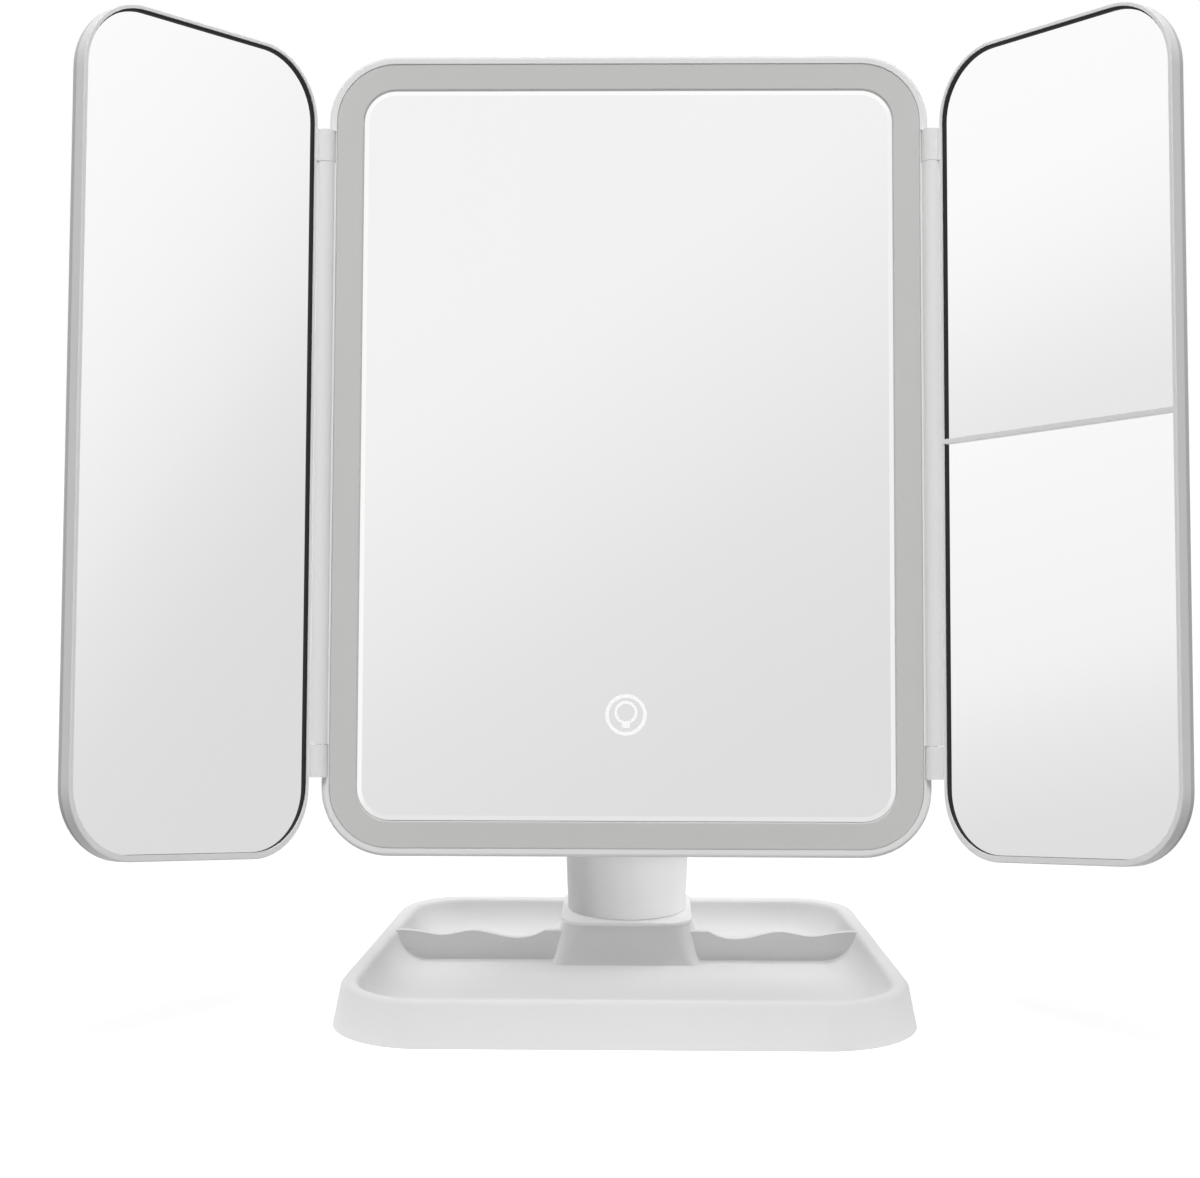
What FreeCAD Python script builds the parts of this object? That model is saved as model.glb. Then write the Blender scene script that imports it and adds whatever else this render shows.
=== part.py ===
import FreeCAD, Part
import math
import os

# Trifold vanity mirror: a lighted centre panel with two folding side mirrors on a tray base.
# World frame: X to the right, Y away from the user, Z up, in millimetres.
# The origin is on the surface that the base stands on, straight under the neck's swivel axis.

os.makedirs("parts", exist_ok=True)

V = FreeCAD.Vector

# ---------------------------------------------------------------- rest pose
tilt_back_angle = 11.0      # the head leans back from upright
wing_open_angle = 49.4      # each wing is swung forward from flat

# ---------------------------------------------------------------- clearances
slide_fit = 0.05            # radial gap where a piece turns on another
pin_fit = 0.02              # radial gap of a pin held in its seat
edge_gap = 0.2              # play around an inserted pane or board
diffuser_gap = 0.05         # play around the light band in its frame
cut_margin = 1.0            # a cutting shape runs this far past the face that it opens

# ---------------------------------------------------------------- centre panel
panel_half_width = 89.6
panel_half_height = 119.7
panel_corner = 20.0
panel_depth = 16.0
panel_back_round = 10.0
panel_wall = 2.2
frame_depth = 4.5
frame_rim = 2.2
frame_ledge = 2.0
frame_front_round = 1.0
frame_tongue = 1.0
frame_tongue_reach = 1.5

light_band_width = 8.1
diffuser_recess = 0.3
diffuser_thickness = 2.5
diffuser_round = 0.5

mirror_recess = 0.4
mirror_thickness = 2.8
mirror_bevel_width = 1.4
mirror_bevel_drop = 0.6
tape_thickness = 0.6
tape_width = 12.0
tape_inset = 8.0
tape_strips = 4

carrier_plate = 1.6
carrier_skirt_depth = 3.6
carrier_skirt_wall = 1.6
carrier_flange = 1.2
led_board_thickness = 1.0
led_board_margin = 0.8
led_size = 3.5
led_height = 0.8
leds_across = 7
leds_up = 10

# ---------------------------------------------------------------- touch switch
icon_height = 41.6          # its centre above the panel's lower edge
icon_radius = 6.1
icon_line = 1.05
icon_depth = 0.2
bulb_radius = 3.4
bulb_rise = 0.7
bulb_line = 0.8
bulb_foot_width = 2.4
bulb_foot_top = -2.1
bulb_foot_bottom = -3.8
touch_foil_size = 18.0
touch_foil_thickness = 0.15
touch_post_radius = 4.0

# ---------------------------------------------------------------- electronics
board_thickness = 1.2
board_standoff = 2.0        # from the carrier's back to the board
board_width = 96.0
board_height = 24.0
board_post_radius = 2.5
socket_width = 9.0
socket_height = 3.4
socket_depth = 6.4
socket_roundness = 0.9      # corner radius as a share of the half height
socket_wall = 0.4
socket_back = 1.0           # thickness of the closed end
socket_tongue_margin = 1.4
socket_tongue = 0.7
socket_offset = 28.0
battery_width = 52.0
battery_height = 78.0
battery_thickness = 5.6
battery_rise = 8.0          # above the control board
battery_tape = 0.4
battery_edge = 0.35         # edge radius as a share of the thickness

# ---------------------------------------------------------------- screws
head_flat = 0.6             # flat top, as a share of the head's radius
head_shoulder = 0.9         # the dome passes here, as a share of the radius
head_shoulder_rise = 0.75   # and here, as a share of the head's height
head_side = 0.35            # upright side, as a share of the height
screw_tip = 0.4             # tip, as a share of the shank's radius
screw_radius = 1.25
screw_head_radius = 2.5
screw_head_height = 1.6
screw_post_radius = 3.6
panel_screw_inset = 27.6    # outer screws, from the panel's sides and ends
screw_bite = 3.2

# ---------------------------------------------------------------- wing hinges
hinge_gap = 0.9             # hinge axis beyond the panel's side
hinge_lead = 0.4            # hinge axis ahead of the front faces
barrel_radius = 2.6
barrel_end_inset = 32.7     # the barrel's ends, from the panel's top and bottom
knuckle_length = 9.6
knuckle_end_gap = 0.2
knuckle_side_gap = 0.35
hinge_pin_radius = 1.0
hinge_pin_bite = 14.0

# ---------------------------------------------------------------- wings
wing_inner_edge = 3.0       # from the hinge axis to the wing's hinge side
wing_shortfall = 2.5        # a folded wing ends this far short of the panel's middle
wing_end_inset = 0.25       # the wing's half height is this much less than the panel's
wing_drop = 0.85            # the wing's middle below the panel's middle
wing_corner = 20.5
wing_depth = 8.0
wing_back_round = 4.2
wing_wall = 0.8
wing_lip = 0.35
lip_land = 1.0              # width of the lip at the hinge side and the top
lip_land_outer = 1.2        # at the outer side
lip_land_bottom = 1.9       # at the bottom
seal_show = 0.9             # the seal shows this far inside the lip at the hinge side and the top
seal_trace = 0.1            # and this far at the outer side and the bottom
wing_front_round = 0.3
gasket_height = 1.0
wing_pane_thickness = 2.0
wing_tape = 0.3
wing_ledge = 7.0
wing_pocket_depth = 2.2
wing_rib = 1.2
wing_rib_height = 1.2
wing_rib_count = 5
split_rise = 2.5            # the split between the right panes, above the middle
split_bar = 1.3
upper_pane_sphere = 2500.0  # each right pane is ground hollow to a sphere
lower_pane_sphere = 1900.0

# ---------------------------------------------------------------- tilt joint
axle_above_edge = 28.0      # axle above the panel's lower edge
axle_behind_back = 22.0     # axle behind the panel's back
axle_height = 62.0          # axle above the ground
axle_radius = 3.0
ear_radius = 9.0
ear_thickness = 6.0
ear_foot_rise = 8.0
ear_foot_reach = 7.0
ear_sweep = 0.3             # the foot's curve passes here, as a share of its rise and reach
cap_radius = 5.0
cap_thickness = 1.4
cap_edge = 0.4              # edge radius as a share of the thickness
tongue_half_width = 10.8
tongue_radius = 10.0
washer_thickness = 0.7
washer_radius = 8.0
tilt_bush_wall = 1.5

# ---------------------------------------------------------------- neck
neck_foot_radius = 18.2
neck_top_radius = 19.4
neck_top = 50.0
neck_top_round = 5.0
neck_wall = 2.4
neck_floor = 3.0
neck_lift = 0.3             # the neck turns this much above its collar
tongue_root = 41.0
neck_screw_x = 8.0
neck_screw_z = 33.0
neck_screw_seat = 8.0       # the heads bear this far behind the split
neck_screw_bite = 5.0

# ---------------------------------------------------------------- base tray
base_front = -96.0          # rim outline at the front
base_back = 28.0            # rim outline at the back
base_front_half = 82.4      # half width of the rim, at the front
base_back_half = 69.2       # half width of the rim, at the back
base_front_corner = 24.0
base_back_corner = 19.0
base_draft = 2.7            # the wall leans out by this much from rim to foot
base_lift = 0.7             # the wall's lower edge above the ground
rim_height = 13.2
rim_width = 4.4
rim_round = 1.6
tray_floor = 4.4
tray_floor_thickness = 1.6
dish_draft = 1.8            # the dish's wall leans in by this much from rim to floor
dish_radius = 10.2
skirt_wall = 2.6

boss_top = 15.7
boss_top_half = 19.4
boss_front = -20.4
boss_back = 20.0
boss_corner = 7.0
boss_foot_corner = 3.0
boss_flare = 2.6            # the foot is this much wider at each side and the back
boss_front_flare = 4.0      # and this much further forward
boss_heel_rise = 1.2        # above the floor the flare falls quickly to its heel share,
boss_heel_share = 0.85
boss_waist_rise = 4.6       # and then slowly to its waist share
boss_waist_share = 0.5
boss_root_share = 1.3       # inside the floor it is wider than the foot
boss_wall = 2.6
collar_thickness = 0.9
collar_overhang = 0.5
collar_round = 0.4

partition_front = -17.6
partition_thickness = 2.0
wave_crest = 13.2
wave_trough = 11.4
wave_outer_trough = 11.8
wave_shoulder = 12.7
wave_end = 13.0
wave_first_crest_x = 25.0
wave_first_trough_x = 37.7
wave_second_crest_x = 47.2
wave_second_trough_x = 55.8
wave_shoulder_x = 62.5

# ---------------------------------------------------------------- swivel
spigot_radius = 7.5
spigot_flange = 2.5
bush_radius = 10.0
bush_flange_radius = 12.5
bush_flange = 1.0
swivel_washer_radius = 11.5
swivel_washer = 1.5
swivel_screw_radius = 2.0
swivel_screw_head_radius = 4.2
swivel_screw_head = 2.2
swivel_screw_bite = 8.0

# ---------------------------------------------------------------- underside
cover_thickness = 1.8
pad_thickness = 1.2
pad_recess = 0.5
pad_inset = 16.0
base_screw_inset = 7.4
base_screw_pad = 4.2
base_screw_radius = 1.0
base_screw_head_radius = 2.2
base_screw_bite = 3.2

# ---------------------------------------------------------------- worked-out places
ledge_front = diffuser_recess + diffuser_thickness
mirror_inset = frame_rim + light_band_width + edge_gap
mirror_back = mirror_recess + mirror_thickness
carrier_front = mirror_back + tape_thickness
carrier_back = carrier_front + carrier_plate
flange_front = carrier_back + carrier_skirt_depth
flange_back = flange_front + carrier_flange
carrier_inset = mirror_inset + edge_gap
flange_inset = frame_rim + 2 * led_board_margin
led_board_front = flange_front - led_board_thickness
cover_floor = panel_depth - panel_wall
icon_z = icon_height - panel_half_height
panel_screw_x = panel_half_width - panel_screw_inset
panel_screw_z = panel_half_height - panel_screw_inset
board_front = carrier_back + board_standoff
board_back = board_front + board_thickness
battery_bottom = icon_z + board_height / 2 + battery_rise
battery_back = cover_floor - battery_tape
post_front = flange_front + edge_gap
panel_screw_seat = post_front + screw_head_height

hinge_offset = panel_half_width + hinge_gap
barrel_half_length = panel_half_height - barrel_end_inset
wing_outer_edge = hinge_offset - wing_shortfall
wing_half_height = panel_half_height - wing_end_inset
wing_pane_front = wing_lip + gasket_height
wing_pane_back = wing_pane_front + wing_pane_thickness
wing_frame_depth = wing_pane_back + wing_tape
wing_top = wing_half_height - wing_drop
wing_bottom = -wing_half_height - wing_drop
knuckle_start = barrel_half_length + knuckle_end_gap

axle_y = panel_depth + axle_behind_back
axle_z = axle_above_edge - panel_half_height

collar_bottom = boss_top
collar_top = collar_bottom + collar_thickness
neck_bottom = collar_top + neck_lift
neck_floor_top = neck_bottom + neck_floor
boss_ceiling = boss_top - boss_wall
bush_bottom = boss_ceiling - bush_flange
spigot_end = bush_bottom - slide_fit
swivel_washer_bottom = spigot_end - swivel_washer
cover_bottom = base_lift
cover_top = cover_bottom + cover_thickness
tray_underside = tray_floor - tray_floor_thickness


# ================================================================ outlines
class Outline:
    """A polygon with rounded corners, listed anticlockwise."""

    def __init__(self, corners, radii):
        self.corners = [V(u, v, 0) for u, v in corners]
        self.radii = radii

    def inset(self, amount):
        """The same outline moved inwards, with its corner arcs kept concentric."""
        moved = []
        count = len(self.corners)
        for i, corner in enumerate(self.corners):
            before = corner - self.corners[i - 1]
            after = self.corners[(i + 1) % count] - corner
            first = V(-before.y, before.x, 0).normalize()
            second = V(-after.y, after.x, 0).normalize()
            shift = (first + second) * (amount / (1 + first.dot(second)))
            moved.append((corner.x + shift.x, corner.y + shift.y))
        return Outline(moved, [max(radius - amount, 0.0) for radius in self.radii])

    def wire(self, level, upright):
        """The outline as a wire: flat at height level, or upright at depth level."""
        def place(point):
            return V(point.x, level, point.y) if upright else V(point.x, point.y, level)

        ends = []
        arcs = []
        count = len(self.corners)
        for i, corner in enumerate(self.corners):
            back = (self.corners[i - 1] - corner).normalize()
            ahead = (self.corners[(i + 1) % count] - corner).normalize()
            half = math.acos(back.dot(ahead)) / 2
            radius = self.radii[i]
            run = radius / math.tan(half)
            start = corner + back * run
            end = corner + ahead * run
            ends.append((start, end))
            if radius > 0:
                middle = corner + (back + ahead).normalize() * (radius / math.sin(half) - radius)
                arcs.append(Part.Arc(place(start), place(middle), place(end)).toShape())
            else:
                arcs.append(None)
        edges = []
        for i in range(count):
            if arcs[i]:
                edges.append(arcs[i])
            edges.append(Part.makeLine(place(ends[i][1]), place(ends[(i + 1) % count][0])))
        return Part.Wire(edges)

    def slab(self, start, end, upright=True):
        """The outline as a solid between two depths, or two heights when not upright."""
        along = V(0, end - start, 0) if upright else V(0, 0, end - start)
        return Part.Face(self.wire(start, upright)).extrude(along)

    def taper(self, start, other, end, upright=True):
        """A solid that runs straight from this outline to another one."""
        return Part.makeLoft([self.wire(start, upright), other.wire(end, upright)], True, True)

    def ring(self, outer, inner, start, end):
        """An upright frame between two insets of the outline."""
        return self.inset(outer).slab(start, end).cut(self.inset(inner).slab(start, end))


def rectangle(left, right, bottom, top, corner):
    return Outline([(left, bottom), (right, bottom), (right, top), (left, top)], [corner] * 4)


panel_outline = rectangle(-panel_half_width, panel_half_width,
                          -panel_half_height, panel_half_height, panel_corner)
wing_outline = rectangle(hinge_offset + wing_inner_edge, hinge_offset + wing_outer_edge,
                         wing_bottom, wing_top, wing_corner)
rim_outline = Outline([(-base_front_half, base_front), (base_front_half, base_front),
                       (base_back_half, base_back), (-base_back_half, base_back)],
                      [base_front_corner, base_front_corner, base_back_corner, base_back_corner])
foot_outline = rim_outline.inset(-base_draft)


def wing_opening(land, outer, bottom):
    """An opening in the wing, by its distance from the hinge side and top, outer side and bottom."""
    return rectangle(hinge_offset + wing_inner_edge + land, hinge_offset + wing_outer_edge - outer,
                     wing_bottom + bottom, wing_top - land, wing_corner - land)


def boss_outline(share):
    """The boss's outline where its flare is this share of the foot's."""
    half = boss_top_half + boss_flare * share
    return rectangle(-half, half, boss_front - boss_front_flare * share, boss_back + boss_flare * share,
                     boss_corner + (boss_foot_corner - boss_corner) * share)


# ================================================================ shared operations
def rod(radius, start, end, x=0.0, y=0.0, z=0.0, axis="y"):
    """A round bar along one axis, from start to end, through the other two coordinates."""
    directions = {"x": V(1, 0, 0), "y": V(0, 1, 0), "z": V(0, 0, 1)}
    feet = {"x": V(start, y, z), "y": V(x, start, z), "z": V(x, y, start)}
    return Part.makeCylinder(radius, end - start, feet[axis], directions[axis])


def block(left, right, front, back, bottom, top):
    return Part.makeBox(right - left, back - front, top - bottom, V(left, front, bottom))


def fused(shapes):
    return shapes[0].fuse(shapes[1:]).removeSplitter()


def edges_at(shape, axis, level):
    """The edges that lie wholly at one coordinate."""
    tolerance = 1e-4
    return [edge for edge in shape.Edges
            if all(abs(getattr(vertex.Point, axis) - level) < tolerance for vertex in edge.Vertexes)]


def mirrored(shape):
    return shape.mirror(V(0, 0, 0), V(1, 0, 0))


def both_sides(shape):
    return [shape, mirrored(shape)]


def pan_screw(radius, head_radius, head_height, length):
    """A screw along +Z with its head's underside at the origin and a domed head below it."""
    crown = V(head_radius * head_flat, 0, -head_height)
    shoulder = V(head_radius * head_shoulder, 0, -head_height * head_shoulder_rise)
    side = V(head_radius, 0, -head_height * head_side)
    tip = V(radius * screw_tip, 0, length)
    profile = Part.Wire([
        Part.makeLine(V(0, 0, -head_height), crown),
        Part.Arc(crown, shoulder, side).toShape(),
        Part.makeLine(side, V(head_radius, 0, 0)),
        Part.makeLine(V(head_radius, 0, 0), V(radius, 0, 0)),
        Part.makeLine(V(radius, 0, 0), V(radius, 0, length - radius)),
        Part.makeLine(V(radius, 0, length - radius), tip),
        Part.makeLine(tip, V(0, 0, length)),
        Part.makeLine(V(0, 0, length), V(0, 0, -head_height)),
    ])
    return Part.Face(profile).revolve(V(0, 0, 0), V(0, 0, 1), 360)


# ================================================================ centre panel
def panel_front_frame():
    """Bezel with the ledge for the light band, the two hinge barrels and a locating tongue."""
    body = panel_outline.slab(0, frame_depth)
    body = body.makeFillet(frame_front_round, edges_at(body, "y", 0))
    tongue = panel_outline.inset(panel_wall + edge_gap).slab(frame_depth, frame_depth + frame_tongue_reach)
    barrels = both_sides(rod(barrel_radius, -barrel_half_length, barrel_half_length,
                             x=hinge_offset, y=-hinge_lead, axis="z"))
    body = fused([body, tongue] + barrels)
    hollow = [
        panel_outline.inset(frame_rim).slab(-barrel_radius, ledge_front),
        panel_outline.inset(frame_rim + frame_ledge).slab(ledge_front, panel_depth),
        panel_outline.inset(panel_wall + edge_gap + frame_tongue).slab(frame_depth, panel_depth),
    ]
    notch_radius = barrel_radius + knuckle_side_gap
    notch_end = knuckle_start + knuckle_length + knuckle_end_gap
    for side in (-1, 1):
        for z_start, z_end in ((barrel_half_length, notch_end), (-notch_end, -barrel_half_length)):
            hollow.append(rod(notch_radius, z_start, z_end,
                              x=side * hinge_offset, y=-hinge_lead, axis="z"))
        pin_end = barrel_half_length - hinge_pin_bite
        for z_start, z_end in ((pin_end, barrel_half_length), (-barrel_half_length, -pin_end)):
            hollow.append(rod(hinge_pin_radius + pin_fit, z_start, z_end,
                              x=side * hinge_offset, y=-hinge_lead, axis="z"))
    return body.cut(hollow)


def panel_rear_cover():
    """Dished back of the panel with screw posts, board posts and the two tilt ears."""
    body = panel_outline.slab(frame_depth, panel_depth)
    body = body.makeFillet(panel_back_round, edges_at(body, "y", panel_depth))
    hollow = panel_outline.inset(panel_wall).slab(0, cover_floor)
    hollow = hollow.makeFillet(panel_back_round - panel_wall, edges_at(hollow, "y", cover_floor))
    body = body.cut(hollow)
    posts = [rod(screw_post_radius, post_front, panel_depth, x=x, z=z) for x, z in panel_screw_places()]
    board_posts = [rod(board_post_radius, board_back, cover_floor, x=x, z=z) for x, z in board_screw_places()]
    body = fused([body] + posts + board_posts + [tilt_ear(side) for side in (-1, 1)])
    holes = [socket_shape(edge_gap, panel_depth + cut_margin)]
    for x, z in panel_screw_places():
        holes.append(rod(screw_head_radius + edge_gap, panel_screw_seat, panel_depth, x=x, z=z))
        holes.append(rod(screw_radius + edge_gap, post_front, panel_screw_seat, x=x, z=z))
    for x, z in board_screw_places():
        holes.append(rod(screw_radius + pin_fit, board_back, board_back + screw_bite, x=x, z=z))
    reach = ear_outer_face() + cut_margin
    holes.append(rod(axle_radius + pin_fit, -reach, reach, y=axle_y, z=axle_z, axis="x"))
    cap_seat = ear_outer_face() - cap_thickness
    for start, end in ((cap_seat, reach), (-reach, -cap_seat)):
        holes.append(rod(cap_radius + edge_gap, start, end, y=axle_y, z=axle_z, axis="x"))
    return body.cut(holes)


def ear_outer_face():
    return tongue_half_width + washer_thickness + ear_thickness + 2 * slide_fit


def tilt_ear(side):
    """Ear that reaches back from the panel to the tilt axle, thicker at its foot."""
    root = panel_depth - panel_wall / 2
    top = axle_z + ear_radius
    bottom = axle_z - ear_radius
    bend = panel_depth + ear_foot_reach
    face_x = ear_outer_face() - ear_thickness
    foot = V(face_x, panel_depth, top + ear_foot_rise)
    sweep = V(face_x, panel_depth + ear_foot_reach * ear_sweep, top + ear_foot_rise * ear_sweep)
    profile = Part.Wire([
        Part.makeLine(V(face_x, root, bottom), V(face_x, axle_y, bottom)),
        Part.Arc(V(face_x, axle_y, bottom), V(face_x, axle_y + ear_radius, axle_z),
                 V(face_x, axle_y, top)).toShape(),
        Part.makeLine(V(face_x, axle_y, top), V(face_x, bend, top)),
        Part.Arc(V(face_x, bend, top), sweep, foot).toShape(),
        Part.makeLine(foot, V(face_x, root, foot.z)),
        Part.makeLine(V(face_x, root, foot.z), V(face_x, root, bottom)),
    ])
    ear = Part.Face(profile).extrude(V(ear_thickness, 0, 0))
    return ear if side > 0 else mirrored(ear)


def panel_screw_places():
    return [(x, z) for x in (-panel_screw_x, panel_screw_x) for z in (-panel_screw_z, 0, panel_screw_z)]


def board_screw_places():
    reach = board_width / 2 - 2 * board_post_radius
    return [(-reach, icon_z), (reach, icon_z)]


def light_diffuser():
    """Frosted ring that glows around the mirror; its outer edge rests on the frame's ledge."""
    outer = panel_outline.inset(frame_rim + diffuser_gap).slab(diffuser_recess, ledge_front)
    inner = panel_outline.inset(frame_rim + light_band_width).slab(diffuser_recess, ledge_front)
    ring = outer.cut(inner)
    return ring.makeFillet(diffuser_round, edges_at(ring, "y", diffuser_recess))


def icon_solids():
    """Switch mark: a ring round a plain lamp bulb, set in the face of the mirror."""
    back = mirror_recess + icon_depth
    ring = rod(icon_radius, mirror_recess, back, z=icon_z)
    ring = ring.cut(rod(icon_radius - icon_line, mirror_recess, back, z=icon_z))
    bulb_z = icon_z + bulb_rise
    bulb = rod(bulb_radius, mirror_recess, back, z=bulb_z)
    bulb = bulb.cut(rod(bulb_radius - bulb_line, mirror_recess, back, z=bulb_z))
    half = bulb_foot_width / 2
    foot = block(-half, half, mirror_recess, back, icon_z + bulb_foot_bottom, icon_z + bulb_foot_top)
    return [ring, bulb.fuse(foot).removeSplitter()]


def centre_mirror():
    """Main mirror glass with a ground bevel round its face."""
    edge = panel_outline.inset(mirror_inset)
    face = edge.inset(mirror_bevel_width)
    bevel_end = mirror_recess + mirror_bevel_drop
    glass = face.taper(mirror_recess, edge, bevel_end)
    glass = glass.fuse(edge.slab(bevel_end, mirror_back)).removeSplitter()
    return glass.cut(icon_solids())


def mirror_tape():
    """Foam tape strips that hold the glass to its carrier."""
    half_height = panel_half_height - mirror_inset - tape_inset - panel_corner / 2
    reach = panel_half_width - mirror_inset - tape_inset - tape_width / 2
    strips = []
    for step in range(tape_strips):
        middle = reach * (2 * step / (tape_strips - 1) - 1)
        strips.append(block(middle - tape_width / 2, middle + tape_width / 2,
                            mirror_back, carrier_front, -half_height, half_height))
    return strips


def mirror_carrier():
    """Inner tray that carries the glass and, on its outer flange, the lamp board."""
    plate = panel_outline.inset(carrier_inset).slab(carrier_front, carrier_back)
    skirt = panel_outline.ring(carrier_inset, carrier_inset + carrier_skirt_wall, carrier_back, flange_back)
    flange = panel_outline.ring(flange_inset, carrier_inset + carrier_skirt_wall, flange_front, flange_back)
    bosses = [rod(screw_post_radius, carrier_back, post_front, x=x, z=z) for x, z in panel_screw_places()]
    body = fused([plate, skirt, flange] + bosses)
    tip = panel_screw_seat - screw_head_height - screw_bite
    holes = [rod(screw_radius + pin_fit, tip - edge_gap, post_front, x=x, z=z)
             for x, z in panel_screw_places()]
    holes.append(rod(touch_post_radius + edge_gap, carrier_front, carrier_back, z=icon_z))
    return body.cut(holes)


def led_board():
    return panel_outline.ring(frame_rim + led_board_margin, carrier_inset - edge_gap / 2,
                              led_board_front, flange_front)


def led_lamps():
    """Small lamps spaced evenly along the four runs of the board."""
    middle = (frame_rim + led_board_margin + carrier_inset) / 2
    half_x = panel_half_width - middle
    half_z = panel_half_height - middle
    run_x = panel_half_width - panel_corner
    run_z = panel_half_height - panel_corner
    places = []
    for i in range(leds_across):
        along = run_x * (2 * i / (leds_across - 1) - 1)
        places += [(along, half_z), (along, -half_z)]
    for i in range(leds_up):
        along = run_z * (2 * i / (leds_up - 1) - 1)
        places += [(half_x, along), (-half_x, along)]
    half = led_size / 2
    return [block(x - half, x + half, led_board_front - led_height, led_board_front, z - half, z + half)
            for x, z in places]


def touch_foil():
    half = touch_foil_size / 2
    return block(-half, half, mirror_back, mirror_back + touch_foil_thickness, icon_z - half, icon_z + half)


def touch_post():
    return rod(touch_post_radius, mirror_back + touch_foil_thickness, board_front, z=icon_z)


def control_board():
    half = board_height / 2
    board = block(-board_width / 2, board_width / 2, board_front, board_back, icon_z - half, icon_z + half)
    return board.cut([rod(screw_radius + edge_gap, board_front, board_back, x=x, z=z)
                      for x, z in board_screw_places()])


def board_screws():
    return [placed(pan_screw(screw_radius, screw_head_radius, screw_head_height,
                             board_thickness + screw_bite - edge_gap), x, board_front, z)
            for x, z in board_screw_places()]


def placed(shape, x, y, z):
    """A screw turned to point back along +Y, with its head's underside at the given place."""
    shape.Placement = FreeCAD.Placement(V(x, y, z), FreeCAD.Rotation(V(1, 0, 0), -90))
    return shape


def socket_shape(play, back):
    """Charging socket's rounded body, grown by the play around it."""
    half_width = socket_width / 2 + play
    half_height = socket_height / 2 + play
    outline = rectangle(socket_offset - half_width, socket_offset + half_width,
                        icon_z - half_height, icon_z + half_height, half_height * socket_roundness)
    return outline.slab(board_back, back)


def charging_socket():
    body = socket_shape(0, board_back + socket_depth)
    mouth = socket_shape(-socket_wall, board_back + socket_depth)
    back = block(0, panel_half_width, board_back, board_back + socket_back, -panel_half_height, 0)
    tongue_half = socket_width / 2 - socket_tongue_margin
    tongue = block(socket_offset - tongue_half, socket_offset + tongue_half,
                   board_back, board_back + socket_depth - socket_back,
                   icon_z - socket_tongue / 2, icon_z + socket_tongue / 2)
    return body.cut(mouth.cut(back)).fuse(tongue).removeSplitter()


def battery_pack():
    half = battery_width / 2
    cell = block(-half, half, battery_back - battery_thickness, battery_back,
                 battery_bottom, battery_bottom + battery_height)
    upright = [edge for edge in cell.Edges if edge.BoundBox.ZLength > battery_height / 2]
    return cell.makeFillet(battery_thickness * battery_edge, upright)


def battery_pad():
    half = battery_width / 2 - battery_tape
    return block(-half, half, battery_back, cover_floor,
                 battery_bottom + battery_thickness, battery_bottom + battery_height - battery_thickness)


def panel_screws():
    length = screw_head_height + screw_bite
    screws = []
    for x, z in panel_screw_places():
        screw = pan_screw(screw_radius, screw_head_radius, screw_head_height, length)
        screw.Placement = FreeCAD.Placement(V(x, panel_screw_seat, z), FreeCAD.Rotation(V(1, 0, 0), 90))
        screws.append(screw)
    return screws


def hinge_pins():
    """Two pins at the right side, from the barrel's ends out through the wing's knuckles."""
    inner = barrel_half_length - hinge_pin_bite
    outer = knuckle_start + knuckle_length
    return [rod(hinge_pin_radius, inner, outer, x=hinge_offset, y=-hinge_lead, axis="z"),
            rod(hinge_pin_radius, -outer, -inner, x=hinge_offset, y=-hinge_lead, axis="z")]


# ================================================================ tilt joint
def tilt_axle():
    reach = ear_outer_face() - cap_thickness
    return rod(axle_radius, -reach, reach, y=axle_y, z=axle_z, axis="x")


def axle_caps():
    seat = ear_outer_face() - cap_thickness
    cap = rod(cap_radius, seat, ear_outer_face(), y=axle_y, z=axle_z, axis="x")
    cap = cap.makeFillet(cap_thickness * cap_edge, edges_at(cap, "x", ear_outer_face()))
    return both_sides(cap)


def tilt_bush():
    reach = tongue_half_width
    sleeve = rod(axle_radius + tilt_bush_wall, -reach, reach, z=axle_height, axis="x")
    return sleeve.cut(rod(axle_radius + slide_fit, -reach, reach, z=axle_height, axis="x"))


def tilt_washers():
    start = tongue_half_width + slide_fit
    washer = rod(washer_radius, start, start + washer_thickness, z=axle_height, axis="x")
    washer = washer.cut(rod(axle_radius + slide_fit, start, start + washer_thickness,
                            z=axle_height, axis="x"))
    return both_sides(washer)


# ================================================================ wings
def split_bar_shape(play):
    """Bar across the right wing between its two panes, grown by the play around it."""
    half = split_bar / 2 + play
    left = hinge_offset + wing_inner_edge + wing_wall / 2
    right = hinge_offset + wing_outer_edge - wing_wall / 2
    return block(left, right, 0, wing_frame_depth, split_rise - half, split_rise + half)


def wing_frame(with_split):
    """Front frame of a wing with its lip, its two hinge knuckles and their webs."""
    body = wing_outline.slab(0, wing_frame_depth)
    body = body.makeFillet(wing_front_round, edges_at(body, "y", 0))
    knuckle_end = knuckle_start + knuckle_length
    spans = ((knuckle_start, knuckle_end), (-knuckle_end, -knuckle_start))
    joined = [body]
    for z_start, z_end in spans:
        joined.append(rod(barrel_radius, z_start, z_end, x=hinge_offset, y=-hinge_lead, axis="z"))
        joined.append(block(hinge_offset, hinge_offset + wing_inner_edge + wing_wall / 2,
                            -hinge_lead, barrel_radius - hinge_lead, z_start, z_end))
    body = fused(joined)
    hollow = [wing_opening(lip_land, lip_land_outer, lip_land_bottom).slab(-barrel_radius, wing_lip),
              wing_outline.inset(wing_wall).slab(wing_lip, wing_depth)]
    for z_start, z_end in spans:
        hollow.append(rod(hinge_pin_radius + slide_fit, z_start, z_end,
                          x=hinge_offset, y=-hinge_lead, axis="z"))
    body = body.cut(hollow)
    if with_split:
        body = body.fuse(split_bar_shape(0)).removeSplitter()
    return body


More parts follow.
